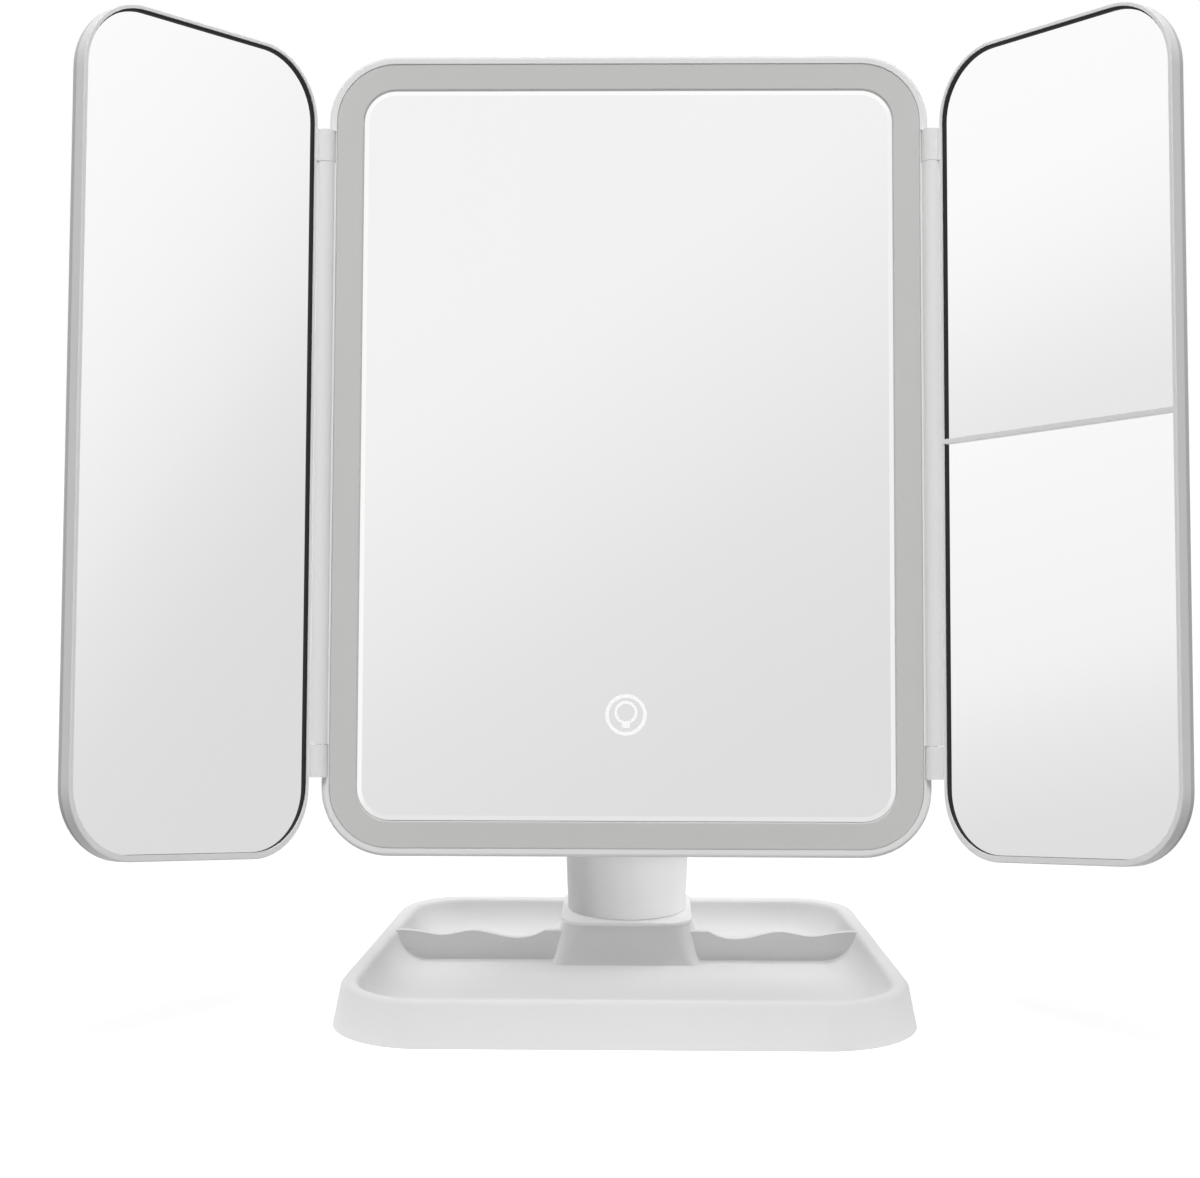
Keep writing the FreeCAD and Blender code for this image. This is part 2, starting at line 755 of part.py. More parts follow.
def wing_back_cover(with_split):
    """Back of a wing: soft rounded edges outside, a ledge and shallow ribs inside."""
    body = wing_outline.slab(wing_frame_depth, wing_depth)
    body = body.makeFillet(wing_back_round, edges_at(body, "y", wing_depth))
    pocket = wing_outline.inset(wing_ledge).slab(wing_frame_depth, wing_frame_depth + wing_pocket_depth)
    left = hinge_offset + wing_inner_edge
    right = hinge_offset + wing_outer_edge
    if with_split:
        pocket = pocket.cut(block(left, right, wing_frame_depth, wing_depth,
                                  split_rise - wing_ledge, split_rise + wing_ledge))
    floor = wing_frame_depth + wing_pocket_depth
    for i in range(1, wing_rib_count + 1):
        middle = wing_bottom + 2 * wing_half_height * i / (wing_rib_count + 1)
        pocket = pocket.cut(block(left, right, floor - wing_rib_height, floor,
                                  middle - wing_rib / 2, middle + wing_rib / 2))
    spine = (left + right) / 2
    pocket = pocket.cut(block(spine - wing_rib / 2, spine + wing_rib / 2, floor - wing_rib_height, floor,
                              wing_bottom, wing_top))
    return body.cut(pocket)


def wing_gasket(with_split):
    """Black seal under the frame's lip, pressing on the face of the glass; it shows at two sides."""
    body = wing_outline.inset(wing_wall).slab(wing_lip, wing_pane_front)
    opening = wing_opening(lip_land + seal_show, lip_land_outer + seal_trace, lip_land_bottom + seal_trace)
    ring = body.cut(opening.slab(wing_lip, wing_pane_front))
    return ring.cut(split_bar_shape(edge_gap)) if with_split else ring


def wing_pane():
    return wing_outline.inset(wing_wall + edge_gap).slab(wing_pane_front, wing_pane_back)


def split_half(shape, upper):
    """The part of a wing piece above or below the bar of the right wing."""
    half = split_bar / 2 + edge_gap
    reach = hinge_offset + wing_outer_edge
    if upper:
        return shape.common(block(0, reach, 0, wing_depth, split_rise + half, wing_top))
    return shape.common(block(0, reach, 0, wing_depth, wing_bottom, split_rise - half))


def hollow_ground(pane, sphere_radius):
    """A pane whose face is ground to a sphere that just reaches its outermost points."""
    box = pane.BoundBox
    reach = math.hypot(box.XLength / 2, box.ZLength / 2)
    sag = reach * reach / (2 * sphere_radius)
    centre = V(box.Center.x, box.YMin + sag - sphere_radius, box.Center.z)
    return pane.cut(Part.makeSphere(sphere_radius, centre, V(1, 0, 0)))


def wing_tape_ring():
    return wing_outline.ring(wing_wall + 2 * edge_gap, wing_ledge - edge_gap,
                             wing_pane_back, wing_frame_depth)


# ================================================================ neck
def neck_shape():
    """Round neck with a flat tongue for the tilt axle, a hollow and two screw posts."""
    tube = Part.makeCone(neck_foot_radius, neck_top_radius, neck_top - neck_bottom, V(0, 0, neck_bottom))
    tube = tube.makeFillet(neck_top_round, edges_at(tube, "z", neck_top))
    tongue = block(-tongue_half_width, tongue_half_width, -tongue_radius, tongue_radius,
                   tongue_root, axle_height)
    knuckle = rod(tongue_radius, -tongue_half_width, tongue_half_width, z=axle_height, axis="x")
    hollow = Part.makeCone(neck_foot_radius - neck_wall, neck_top_radius - neck_wall,
                           tongue_root - neck_floor_top, V(0, 0, neck_floor_top))
    body = tube.cut(hollow)
    posts = []
    for x, z in neck_screw_places():
        post = rod(screw_post_radius, -neck_foot_radius, neck_foot_radius, x=x, z=z)
        posts.append(post.common(hollow))
    body = fused([body, tongue.cut(hollow), knuckle] + posts)
    holes = [rod(spigot_radius + pin_fit, neck_bottom, neck_floor_top, axis="z"),
             rod(axle_radius + tilt_bush_wall + pin_fit, -tongue_half_width, tongue_half_width,
                 z=axle_height, axis="x")]
    for x, z in neck_screw_places():
        holes.append(rod(screw_head_radius + edge_gap, neck_screw_seat, 2 * neck_top_radius, x=x, z=z))
        holes.append(rod(screw_radius + edge_gap, 0, neck_screw_seat, x=x, z=z))
        holes.append(rod(screw_radius + pin_fit, -neck_screw_bite - edge_gap, 0, x=x, z=z))
    return body.cut(holes)


def neck_screw_places():
    return [(-neck_screw_x, neck_screw_z), (neck_screw_x, neck_screw_z)]


def neck_half(front):
    reach = 2 * neck_top_radius
    top = axle_height + 2 * tongue_radius
    if front:
        return neck_shape().common(block(-reach, reach, -reach, 0, 0, top))
    return neck_shape().common(block(-reach, reach, 0, reach, 0, top))


def neck_screws():
    screws = []
    for x, z in neck_screw_places():
        screw = pan_screw(screw_radius, screw_head_radius, screw_head_height,
                          neck_screw_seat + neck_screw_bite)
        screw.Placement = FreeCAD.Placement(V(x, neck_screw_seat, z), FreeCAD.Rotation(V(1, 0, 0), 90))
        screws.append(screw)
    return screws


def swivel_spigot():
    """Flanged spigot held in the neck's foot; it turns in the bush of the base."""
    flange_radius = neck_foot_radius - neck_wall - edge_gap
    flange = rod(flange_radius, neck_floor_top, neck_floor_top + spigot_flange, axis="z")
    stem = rod(spigot_radius, spigot_end, neck_floor_top, axis="z")
    body = flange.fuse(stem).removeSplitter()
    return body.cut(rod(swivel_screw_radius + pin_fit, spigot_end, spigot_end + swivel_screw_bite + edge_gap,
                        axis="z"))


def swivel_bush():
    flange = rod(bush_flange_radius, bush_bottom, boss_ceiling, axis="z")
    sleeve = rod(bush_radius, boss_ceiling, collar_top, axis="z")
    body = flange.fuse(sleeve).removeSplitter()
    return body.cut(rod(spigot_radius + slide_fit, bush_bottom, collar_top, axis="z"))


def swivel_washer_disc():
    disc = rod(swivel_washer_radius, swivel_washer_bottom, spigot_end, axis="z")
    return disc.cut(rod(swivel_screw_radius + edge_gap, swivel_washer_bottom, spigot_end, axis="z"))


def swivel_screw():
    screw = pan_screw(swivel_screw_radius, swivel_screw_head_radius, swivel_screw_head,
                      swivel_washer + swivel_screw_bite)
    screw.translate(V(0, 0, swivel_washer_bottom))
    return screw


# ================================================================ base
def partition_wall():
    """Thin upright wall across the tray with a gently waved upper edge."""
    reach = rim_half_width_at(partition_front) - rim_width / 2
    heights = [(wave_first_crest_x, wave_crest), (wave_first_trough_x, wave_trough),
               (wave_second_crest_x, wave_crest), (wave_second_trough_x, wave_outer_trough),
               (wave_shoulder_x, wave_shoulder), (reach, wave_end)]
    right = [V(x, partition_front, z) for x, z in heights]
    left = [V(-x, partition_front, z) for x, z in reversed(heights)]
    edges = []
    for side in (left, right):
        curve = Part.BSplineCurve()
        curve.interpolate(side)
        edges.append(curve.toShape())
    low = tray_floor - tray_floor_thickness / 2
    edges.insert(1, Part.makeLine(left[-1], right[0]))
    edges.append(Part.makeLine(right[-1], V(reach, partition_front, low)))
    edges.append(Part.makeLine(V(reach, partition_front, low), V(-reach, partition_front, low)))
    edges.append(Part.makeLine(V(-reach, partition_front, low), left[0]))
    return Part.Face(Part.Wire(edges)).extrude(V(0, partition_thickness, 0))


def rim_half_width_at(y):
    """Half width of the rim outline between its straight, slightly splayed sides."""
    share = (y - base_front) / (base_back - base_front)
    return base_front_half + (base_back_half - base_front_half) * share


def boss_solid():
    """Flared boss under the neck: squarer at its foot, rounder at its top."""
    sections = [(tray_floor - tray_floor_thickness / 2, boss_root_share),
                (tray_floor + boss_heel_rise, boss_heel_share),
                (tray_floor + boss_waist_rise, boss_waist_share),
                (boss_top, 0.0)]
    return Part.makeLoft([boss_outline(share).wire(z, False) for z, share in sections], True, False)


def base_tray():
    """Dished tray with a rounded rim, a waved partition and a hollow boss for the neck."""
    body = foot_outline.taper(base_lift, rim_outline, rim_height, upright=False)
    dish_foot = rim_outline.inset(rim_width + dish_draft)
    dish = dish_foot.taper(tray_floor, rim_outline.inset(rim_width), rim_height, upright=False)
    dish = dish.makeFillet(dish_radius, edges_at(dish, "z", tray_floor))
    body = body.cut(dish)
    body = body.makeFillet(rim_round, edges_at(body, "z", rim_height))
    body = fused([body, boss_solid(), partition_wall()])
    skirt = foot_outline.inset(skirt_wall + base_draft)
    cavity = skirt.slab(0, tray_underside, upright=False)
    boss_cavity = boss_outline(0).inset(boss_wall).slab(0, boss_ceiling, upright=False)
    body = body.cut([cavity, boss_cavity])
    pads = [rod(base_screw_pad, cover_top, tray_underside + tray_floor_thickness / 2, x=x, y=y, axis="z")
            for x, y in base_screw_places()]
    body = fused([body] + pads)
    holes = [rod(bush_radius + pin_fit, boss_ceiling, boss_top, axis="z")]
    for x, y in base_screw_places():
        holes.append(rod(base_screw_radius + pin_fit, cover_top, cover_top + base_screw_bite,
                         x=x, y=y, axis="z"))
    return body.cut(holes)


def base_screw_places():
    places = []
    for y in (base_front + base_front_corner, base_back - base_back_corner):
        x = rim_half_width_at(y) - base_screw_inset
        places += [(-x, y), (x, y)]
    return places


def neck_collar():
    """Bright plate on top of the boss that rings the neck's foot."""
    outline = boss_outline(0).inset(-collar_overhang)
    plate = outline.slab(collar_bottom, collar_top, upright=False)
    plate = plate.makeFillet(collar_round, edges_at(plate, "z", collar_top))
    return plate.cut(rod(bush_radius + pin_fit, collar_bottom, collar_top, axis="z"))


def base_bottom_cover():
    """Plate that closes the tray's underside, with a shallow seat for the anti-slip pad."""
    outline = foot_outline.inset(skirt_wall + base_draft + edge_gap)
    plate = outline.slab(cover_bottom, cover_top, upright=False)
    seat = foot_outline.inset(pad_inset - edge_gap).slab(cover_bottom, cover_bottom + pad_recess,
                                                         upright=False)
    holes = [seat]
    for x, y in base_screw_places():
        sink = base_screw_head_radius - base_screw_radius
        holes.append(rod(base_screw_radius + edge_gap, cover_bottom, cover_top, x=x, y=y, axis="z"))
        holes.append(Part.makeCone(base_screw_head_radius + edge_gap, base_screw_radius + edge_gap, sink,
                                   V(x, y, cover_bottom)))
    return plate.cut(holes)


def anti_slip_pad():
    return foot_outline.inset(pad_inset).slab(cover_bottom + pad_recess - pad_thickness,
                                              cover_bottom + pad_recess, upright=False)


def base_screws():
    """Countersunk screws from the underside up into the tray's thick corners."""
    sink = base_screw_head_radius - base_screw_radius
    screws = []
    for x, y in base_screw_places():
        head = Part.makeCone(base_screw_head_radius, base_screw_radius, sink, V(x, y, cover_bottom))
        shank = rod(base_screw_radius, cover_bottom + sink, cover_top + base_screw_bite - edge_gap,
                    x=x, y=y, axis="z")
        screws.append(head.fuse(shank).removeSplitter())
    return screws


# ================================================================ placing and writing
tilted = FreeCAD.Placement(V(0, 0, axle_height), FreeCAD.Rotation(V(1, 0, 0), -tilt_back_angle))
panel_place = tilted.multiply(FreeCAD.Placement(V(0, -axle_y, -axle_z), FreeCAD.Rotation()))
hinge_line = V(hinge_offset, -hinge_lead, 0)
wing_swing = FreeCAD.Placement(hinge_line, FreeCAD.Rotation(V(0, 0, 1), -wing_open_angle))
wing_place = panel_place.multiply(wing_swing).multiply(
    FreeCAD.Placement(hinge_line.negative(), FreeCAD.Rotation()))


def as_list(shapes):
    return shapes if isinstance(shapes, list) else [shapes]


def write(name, shapes, place=None, mirror=False):
    """Writes one named piece, or one group of like pieces, in the world frame."""
    solids = []
    for shape in as_list(shapes):
        solid = shape.copy()
        if place:
            solid = solid.transformShape(place.Matrix) or solid
        if mirror:
            solid = mirrored(solid)
        solids.append(solid)
    whole = solids[0] if len(solids) == 1 else Part.makeCompound(solids)
    whole.exportStep("parts/" + name + ".step")
    print(name, len(whole.Solids), round(whole.Volume, 1), whole.isValid())


def write_panel():
    write("panel_front_frame", panel_front_frame(), panel_place)
    write("panel_rear_cover", panel_rear_cover(), panel_place)
    write("light_diffuser", light_diffuser(), panel_place)
    write("centre_mirror", centre_mirror(), panel_place)
    write("touch_icon", icon_solids(), panel_place)
    write("mirror_tape", mirror_tape(), panel_place)
    write("mirror_carrier", mirror_carrier(), panel_place)
    write("led_board", led_board(), panel_place)
    write("led_lamps", led_lamps(), panel_place)
    write("touch_foil", touch_foil(), panel_place)
    write("touch_contact_post", touch_post(), panel_place)
    write("control_board", control_board(), panel_place)
    write("control_board_screws", board_screws(), panel_place)
    write("charging_socket", charging_socket(), panel_place)
    write("battery_pack", battery_pack(), panel_place)
    write("battery_pad", battery_pad(), panel_place)
    write("panel_screws", panel_screws(), panel_place)
    write("right_hinge_pins", hinge_pins(), panel_place)
    write("left_hinge_pins", hinge_pins(), panel_place, mirror=True)
    write("tilt_axle", tilt_axle(), panel_place)
    write("tilt_axle_caps", axle_caps(), panel_place)


def write_wings():
    write("left_wing_frame", wing_frame(False), wing_place, mirror=True)
    write("left_wing_back_cover", wing_back_cover(False), wing_place, mirror=True)
    write("left_wing_gasket", wing_gasket(False), wing_place, mirror=True)
    write("left_wing_mirror", wing_pane(), wing_place, mirror=True)
    write("left_wing_tape", wing_tape_ring(), wing_place, mirror=True)
    write("right_wing_frame", wing_frame(True), wing_place)
    write("right_wing_back_cover", wing_back_cover(True), wing_place)
    write("right_wing_gasket", wing_gasket(True).Solids, wing_place)
    upper_pane = hollow_ground(split_half(wing_pane(), True), upper_pane_sphere)
    lower_pane = hollow_ground(split_half(wing_pane(), False), lower_pane_sphere)
    write("right_wing_upper_mirror", upper_pane, wing_place)
    write("right_wing_lower_mirror", lower_pane, wing_place)
    tape_halves = [split_half(wing_tape_ring(), True), split_half(wing_tape_ring(), False)]
    write("right_wing_tape", tape_halves, wing_place)


def write_stand():
    write("neck_front_shell", neck_half(True))
    write("neck_back_shell", neck_half(False))
    write("neck_screws", neck_screws())
    write("swivel_spigot", swivel_spigot())
    write("swivel_washer", swivel_washer_disc())
    write("swivel_screw", swivel_screw())
    write("tilt_bush", tilt_bush())
    write("tilt_washers", tilt_washers())
    write("swivel_bush", swivel_bush())
    write("base_tray", base_tray())
    write("neck_collar", neck_collar())
    write("base_bottom_cover", base_bottom_cover())
    write("anti_slip_pad", anti_slip_pad())
    write("base_screws", base_screws())


write_panel()
write_wings()
write_stand()
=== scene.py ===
# %% [markdown]
# # A trifold vanity mirror
# The mirror has a lighted middle panel and two wings on hinges, on a neck that
# turns in a storage tray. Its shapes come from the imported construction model.
# This lesson gives them their looks: moulded white plastic, a frosted light
# band, silvered glass, a black seal round each wing pane, and the hidden works
# behind them. Every length here is in metres.

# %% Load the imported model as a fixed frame
import math

import bpy
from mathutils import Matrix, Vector

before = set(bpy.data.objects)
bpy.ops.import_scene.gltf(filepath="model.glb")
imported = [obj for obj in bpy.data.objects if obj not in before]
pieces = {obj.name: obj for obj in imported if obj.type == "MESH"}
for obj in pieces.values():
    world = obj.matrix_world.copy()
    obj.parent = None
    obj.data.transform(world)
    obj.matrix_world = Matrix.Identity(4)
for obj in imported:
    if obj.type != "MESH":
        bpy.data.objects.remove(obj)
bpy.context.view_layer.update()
print("pieces loaded:", len(pieces))

# %% [markdown]
# ## The camera
# A long lens keeps the upright edges nearly parallel. It stands at about two
# thirds of the mirror's height and looks slightly down, so the tray's floor
# shows. A view from lower would hide the tray, and a shorter lens would make
# the wings lean more.

# %% Set the camera
CAMERA_PLACE = (0.0070, -0.745, 0.1986)
LOOKS_DOWN, TURNS_LEFT = 6.33, 1.18
scene = bpy.context.scene
lens = bpy.data.cameras.new("camera")
lens.sensor_width = 36.0
lens.lens = 73.35
lens.clip_start = 0.01
lens.clip_end = 50.0
camera = bpy.data.objects.new("camera", lens)
camera.location = CAMERA_PLACE
camera.rotation_euler = (math.radians(90 - LOOKS_DOWN), 0.0, math.radians(TURNS_LEFT))
scene.collection.objects.link(camera)
scene.camera = camera
print("camera looks down by", LOOKS_DOWN, "degrees from", CAMERA_PLACE[2], "m")

# %% [markdown]
# ## Writing shader maths as plain expressions
# A finish varies over the surface by maths on patterns. Its Math nodes could
# be wired one by one, but they are easier to read as a formula. One small
# class stands for an output of a node, and its operators add the Math nodes.

# %% A socket that knows arithmetic
class Socket:
    """One output of a shader node. Arithmetic on it adds the Math nodes."""

    def __init__(self, finish, output):
        self.finish = finish
        self.output = output

    def calculate(self, operation, first, second):
        return self.finish.node("ShaderNodeMath", {"operation": operation},
                                {0: first, 1: second})

    def __add__(self, other):
        return self.calculate("ADD", self, other)

    def __radd__(self, other):
        return self.calculate("ADD", other, self)

    def __sub__(self, other):
        return self.calculate("SUBTRACT", self, other)

    def __rsub__(self, other):
        return self.calculate("SUBTRACT", other, self)

    def __mul__(self, other):
        return self.calculate("MULTIPLY", self, other)

    def __rmul__(self, other):
        return self.calculate("MULTIPLY", other, self)

    def __truediv__(self, other):
        return self.calculate("DIVIDE", self, other)

    def __rtruediv__(self, other):
        return self.calculate("DIVIDE", other, self)

    def above_zero(self):
        """The value where it is above zero, and zero elsewhere."""
        return self.calculate("MAXIMUM", self, 0.0)


print("socket operators: + - * /, and above_zero")

# %% [markdown]
# A second class holds the tree of one finish. Wiring it by hand in the Shader
# Editor would give the same tree, but code can be read, repeated and changed
# in one place. One method makes any node: it takes the node's type, its
# settings, and the values or links of its sockets. Colours and vectors go
# through the Mix and Vector Math nodes, since a Math node would turn a colour
# grey.

# %% A finish that makes nodes
class Finish:
    """The node tree of a new material or world, and the ways to add nodes to it."""

    def __init__(self, name, kind="materials"):
        self.owner = getattr(bpy.data, kind).new(name)
        self.owner.use_nodes = True
        self.tree = self.owner.node_tree
        self.tree.nodes.clear()

    def node(self, kind, settings=None, inputs=None, output=0):
        """One node of a type, and the output of it that is wanted."""
        made = self.tree.nodes.new(kind)
        for name, value in (settings or {}).items():
            if name == "stops":
                stops = made.color_ramp.elements
                while len(stops) < len(value):
                    stops.new(1.0)
                for stop, (place, shade) in zip(stops, value):
                    stop.position = place
                    stop.color = (shade, shade, shade, 1.0)
            else:
                setattr(made, name, value)
        for name, value in (inputs or {}).items():
            if isinstance(value, Socket):
                self.tree.links.new(value.output, made.inputs[name])
            else:
                made.inputs[name].default_value = value
        return Socket(self, made.outputs[output]) if made.outputs else None

    def place(self):
        """Where a point is on the object itself, in metres."""
        return self.node("ShaderNodeTexCoord", output="Object")

    def along(self, axis):
        """One coordinate of that place: 0, 1 or 2."""
        return self.node("ShaderNodeSeparateXYZ", None, {0: self.place()}, axis)

    def noise(self, scale, detail, roughness=0.5, stretch=(1.0, 1.0, 1.0)):
        """A soft random pattern, from 0 to 1, scaled per metre."""
        place = self.node("ShaderNodeVectorMath", {"operation": "MULTIPLY"},
                          {0: self.place(), 1: stretch})
        return self.node(
            "ShaderNodeTexNoise", None,
            {"Vector": place, "Scale": scale, "Detail": detail, "Roughness": roughness}, "Fac")

    def mix(self, mask, first, second):
        """A colour between two colours."""
        return self.node("ShaderNodeMix", {"data_type": "RGBA"}, {0: mask, 6: first, 7: second}, 2)

    def ramp(self, value, stops):
        """Turns a value from 0 to 1 into another, by stops of place and shade."""
        return self.node("ShaderNodeValToRGB", {"stops": stops}, {0: value})

    def bump(self, height, distance, strength):
        """Relief for Normal. The distance is how high it stands, in metres."""
        return self.node(
            "ShaderNodeBump", None,
            {"Height": height, "Distance": distance, "Strength": strength})

    def surface(self, **inputs):
        """The Principled surface, with spaces written as underscores."""
        named = {name.replace("_", " "): value for name, value in inputs.items()}
        shader = self.node("ShaderNodeBsdfPrincipled", None, named)
        self.node("ShaderNodeOutputMaterial", None, {"Surface": shader})
        return self.owner


print("a finish can make: place, along, noise, mix, ramp, bump, surface")

# %% [markdown]
# ## Tones
# A colour is easiest to judge as it looks on screen, from 0 to 255, but a
# shader wants the amount of light. A colour picker would turn one into the
# other, and so does the screen's own curve, written once as a function.

# %% Turn screen tones into light
def light(shown):
    """The amount of light behind one screen tone."""
    share = shown / 255
    return share / 12.92 if shown <= 10 else ((share + 0.055) / 1.055) ** 2.4


def tone(red, green=None, blue=None):
    """A shader colour from screen tones. One tone alone is a grey."""
    if green is None:
        green = blue = red
    return (light(red), light(green), light(blue), 1.0)


print("a screen tone of 230 is", round(light(230), 3), "in a shader")

# %% [markdown]
# ## The white tent
# A mirror is shown best inside a white tent, where it finds nothing but soft
# pale light. The tent could be a big mesh with lamps on it. A world that is
# shaded by direction does the same without a mesh and renders with less noise,
# so that is what is used here. Its walls shade from grey low down to white
# high up, and slant a little. The wall in front, which the middle pane shows,
# is lit less than the walls at the sides, which the wings show. A white card
# on the left brightens what the right wing shows.

# %% Shade the tent's walls by direction
SIDE_SLANT, FRONT_SLANT, LEFT_CARD = 0.9, 0.6, 0.30
tent = Finish("white_tent", "worlds")
looked_at = tent.node("ShaderNodeTexCoord", output="Generated")
across = tent.node("ShaderNodeSeparateXYZ", None, {0: looked_at}, 0)
away = tent.node("ShaderNodeSeparateXYZ", None, {0: looked_at}, 1)
up = tent.node("ShaderNodeSeparateXYZ", None, {0: looked_at}, 2)
in_front = (0.0 - away).above_zero()
on_the_left = (0.0 - across).above_zero()


def in_light(stops):
    """The same stops, with their screen tones turned into light."""
    return [(place, light(shown)) for place, shown in stops]


def wall(height, lowest, reach, stops):
    """The light of a tent wall by height. The stops hold screen tones."""
    return tent.ramp((height - lowest) / reach, in_light(stops))


side_height = up - SIDE_SLANT * across * away + LEFT_CARD * on_the_left
side_wall = wall(side_height, lowest=-0.01, reach=0.36, stops=[
    (0.0, 221), (0.14, 221.5), (0.26, 224), (0.39, 231), (0.45, 236),
    (0.575, 243), (0.70, 247.5), (0.825, 250.5), (1.0, 253.5)])
front_height = up - FRONT_SLANT * across
front_wall = wall(front_height, lowest=-0.10, reach=0.60, stops=[
    (0.0, 232), (0.20, 232), (0.333, 222), (0.46, 222.5), (0.533, 225),
    (0.613, 228.5), (0.69, 234.5), (0.767, 239.5), (0.817, 242.5),
    (0.883, 243.5), (1.0, 243.5)])
facing = tent.ramp(in_front, [(0.35, 0.0), (0.75, 1.0)])
walls = tent.mix(facing, side_wall, front_wall)
print("tent walls slant by", SIDE_SLANT, "at the sides and", FRONT_SLANT, "in front")

# %% [markdown]
# The ground bevel round the middle pane looks past the wall that the pane
# itself shows. On the left it finds one more white card, which stands in the
# front corner of the tent. Along the bottom it finds the foot of the front
# wall, which is a little lighter than the wall just above it. Both make the
# bevel a bright line. A brighter bevel finish would do that too, but it would
# then stay bright from every side, as no real bevel does.

# %% Stand a card in the corner
CARD_TONE = 251
corner = tent.ramp(in_front, [(0.28, 0.0), (0.40, 1.0), (0.62, 1.0), (0.75, 0.0)])
corner_side = tent.ramp(on_the_left, [(0.30, 0.0), (0.50, 1.0)])
tent_tone = tent.mix(corner * corner_side, walls, tone(CARD_TONE))
print("corner card tone:", CARD_TONE)

# %% [markdown]
# One world can answer each kind of ray in its own way, which a real tent
# can't. What the camera sees is plain white. Glass and gloss see the tent's
# walls. Matt surfaces get only a little plain white light, because the lamps
# are there to light them.

# %% Show the tent to glass and gloss alone
TENT_LIGHT = 0.10
WHITE = (1.0, 1.0, 1.0, 1.0)
camera_ray = tent.node("ShaderNodeLightPath", output="Is Camera Ray")
glossy_ray = tent.node("ShaderNodeLightPath", output="Is Glossy Ray")
through_ray = tent.node("ShaderNodeLightPath", output="Is Transmission Ray")
tent_light = tent.node("ShaderNodeBackground", None, {"Color": WHITE, "Strength": TENT_LIGHT})
tent_glow = tent.node("ShaderNodeBackground", None, {"Color": tent_tone, "Strength": 1.0})
plain_white = tent.node("ShaderNodeBackground", None, {"Color": WHITE, "Strength": 1.0})
in_glass = tent.node("ShaderNodeMixShader", None, {0: glossy_ray, 1: tent_light, 2: tent_glow})
seen = tent.node("ShaderNodeMixShader", None,
                 {0: camera_ray + through_ray, 1: in_glass, 2: plain_white})
tent.node("ShaderNodeOutputWorld", None, {"Surface": seen})
scene.world = tent.owner
print("tent light on matt surfaces:", TENT_LIGHT)

# %% [markdown]
# ## The floor
# The mirror stands on a broad sheet of pale paper. One flat face is enough,
# since nothing looks under it. It lies a fifth of a millimetre below the foot
# of the tray, so that the two surfaces never fight for the same place. Glass
# and gloss don't see it: they see the tent go on below it, without a horizon.

# %% Lay the floor
FLOOR_HALF, FLOOR_DROP = 3.0, 0.0002
corners = [(-FLOOR_HALF, -FLOOR_HALF, 0.0), (FLOOR_HALF, -FLOOR_HALF, 0.0),
           (FLOOR_HALF, FLOOR_HALF, 0.0), (-FLOOR_HALF, FLOOR_HALF, 0.0)]
floor_mesh = bpy.data.meshes.new("floor")
floor_mesh.from_pydata(corners, [], [(0, 1, 2, 3)])
floor = bpy.data.objects.new("floor", floor_mesh)
floor.location.z = -FLOOR_DROP
floor.visible_glossy = False
scene.collection.objects.link(floor)
print("floor laid at", round(floor.location.z, 4))

# %% [markdown]
# Paper has fibres, so its tone wavers a little. More lamps would make it
# white, but they would wash out the object too. Instead the paper glows for
# the camera alone: less under the object, where the shadow stays, and more
# further out.

# %% Make the paper
LIFT_NEAR, LIFT_FAR, LIFT_REACH = 0.74, 0.94, 2.0
BLACK = (0.0, 0.0, 0.0, 1.0)
paper = Finish("floor_paper")
fibre = paper.noise(scale=700.0, detail=4.0, roughness=0.6)
matt = paper.node("ShaderNodeBsdfDiffuse", None,
                  {"Color": paper.mix(fibre, tone(235), tone(237))})
distance = paper.node(
    "ShaderNodeVectorMath", {"operation": "LENGTH"}, {0: paper.place()}, "Value")
lift_tone = paper.ramp(distance / LIFT_REACH, [(0.0, LIFT_NEAR), (1.0, LIFT_FAR)])
to_camera = paper.node("ShaderNodeLightPath", output="Is Camera Ray")
lift = paper.node("ShaderNodeEmission", None, {"Color": lift_tone, "Strength": 1.0})
dark = paper.node("ShaderNodeEmission", None, {"Color": BLACK, "Strength": 0.0})
lifted = paper.node("ShaderNodeMixShader", None, {0: to_camera, 1: dark, 2: lift})
both = paper.node("ShaderNodeAddShader", None, {0: matt, 1: lifted})
paper.node("ShaderNodeOutputMaterial", None, {"Surface": both})
floor.data.materials.append(paper.owner)
print("paper lifted by", LIFT_NEAR, "to", LIFT_FAR)

# %% [markdown]
# ## Lamps and flags
# The tray, the neck and the head each want their light from another side: the
# tray from all round and from the paper below, the neck from the right, so
# that it looks round, and the head from above and in front. In a studio, black
# flags keep a lamp off what it isn't meant for. Blender's light linking does
# the same: each lamp gets a collection of the objects that it may light.

# %% Sort the pieces for the lamps
STAND_PIECES = ("base_tray", "neck_collar", "base_bottom_cover", "base_screws",
                "anti_slip_pad", "swivel_bush", "swivel_washer", "swivel_screw")
NECK_PIECES = ("neck_front_shell", "neck_back_shell", "neck_screws", "swivel_spigot")
head_pieces = [name for name in pieces if name not in STAND_PIECES + NECK_PIECES]


def lit_group(name, objects):
    """A collection of the objects that one set of lamps may light."""
    group = bpy.data.collections.new(name)
    for thing in objects:
        group.objects.link(thing)
    return group


lit_groups = {
    "floor": lit_group("lit_floor", [floor]),
    "stand": lit_group("lit_stand", [pieces[name] for name in STAND_PIECES]),
    "neck": lit_group("lit_neck", [pieces[name] for name in NECK_PIECES]),
    "head": lit_group("lit_head", [pieces[name] for name in head_pieces]),
}

# %% [markdown]
# Point lamps would leave hard shadows and small glints, so every lamp is a
# round soft box, two metres from the object. A row of the table gives the
# group that it lights, its elevation, its direction round the object (0 is in
# front and 90 on the right), its width and its power. The tray's light comes
# mostly from a very wide box overhead, so that its dished floor looks even.
# Three low boxes behind the head light its back.

